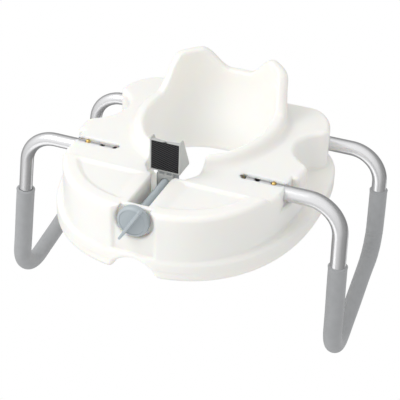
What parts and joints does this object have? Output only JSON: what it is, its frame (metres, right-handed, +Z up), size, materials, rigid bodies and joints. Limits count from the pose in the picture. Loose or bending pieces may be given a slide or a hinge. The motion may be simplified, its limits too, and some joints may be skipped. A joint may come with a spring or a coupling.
{
  "type": "raised toilet seat",
  "caption": "Raised toilet seat with a moulded shell, splash guard, hygiene scoop, removable padded armrests and a screw clamp that locks it in the bowl.",
  "frame": {"origin": "centre of the seat's opening, on the plane that rests on the toilet bowl's rim", "axes": "+Z up as the seat is used, -Y towards the front of the toilet, where the clamp's knob is, +X towards the seated user's left arm"},
  "size_m": [0.6063, 0.487, 0.3968],
  "materials": {
    "white_plastic": "smooth blow-moulded shell, semi-gloss",
    "grey_plastic": "moulded, satin",
    "knob_plastic": "moulded, fine satin",
    "zinc_steel": "zinc plated",
    "spring_steel": "hardened, plain",
    "bracket_paint": "light grey powder coat",
    "black_rubber": "ribbed, matt",
    "anodised_tube": "satin anodised",
    "grey_foam": "closed-cell foam, matt",
    "brass_button": "plain, worn bright",
    "dark_plastic": "moulded, matt"
  },
  "bodies": {
    "seat": {"seat_body": "white_plastic", "screw_bushing": "grey_plastic"},
    "knob": {"knob": "knob_plastic", "knob_screw": "knob_plastic", "knob_washer": "zinc_steel", "screw_clip": "spring_steel"},
    "clamp": {"clamp_slide": "grey_plastic", "clamp_nut": "zinc_steel", "clamp_bracket": "bracket_paint", "bracket_rivets": "zinc_steel", "clamp_pad": "black_rubber"},
    "arm_left": {"arm_tube_left": "anodised_tube", "grip_left": "grey_foam", "tube_plugs_left": "dark_plastic", "button_spring_left": "spring_steel"},
    "arm_right": {"arm_tube_right": "anodised_tube", "grip_right": "grey_foam", "tube_plugs_right": "dark_plastic", "button_spring_right": "spring_steel"},
    "button_left": {"button_left": "brass_button"},
    "button_right": {"button_right": "brass_button"}
  },
  "joints": [
    {"name": "knob_turn", "type": "hinge", "parent": "seat", "child": "knob", "pos_m": [0, -0.303, 0.012], "axis": [0, 1, 0], "range_deg": [0, 7200]},
    {"name": "clamp_travel", "type": "slide", "parent": "seat", "child": "clamp", "axis": [0, -1, 0], "range_m": [0, 0.06]},
    {"name": "arm_left_slide", "type": "slide", "parent": "seat", "child": "arm_left", "axis": [1, 0, 0], "range_m": [-0.006, 0.011]},
    {"name": "arm_right_slide", "type": "slide", "parent": "seat", "child": "arm_right", "axis": [-1, 0, 0], "range_m": [-0.006, 0.011]},
    {"name": "button_left_press", "type": "slide", "parent": "arm_left", "child": "button_left", "axis": [0, 0, 1], "range_m": [0, 0.0045], "stiffness_N_per_m": 1500, "deforming": ["button_spring_left"]},
    {"name": "button_right_press", "type": "slide", "parent": "arm_right", "child": "button_right", "axis": [0, 0, 1], "range_m": [0, 0.0045], "stiffness_N_per_m": 1500, "deforming": ["button_spring_right"]}
  ],
  "couplings": [
    {"joint": "knob_turn", "follows": "clamp_travel", "rad_per_m": 2094.4}
  ]
}
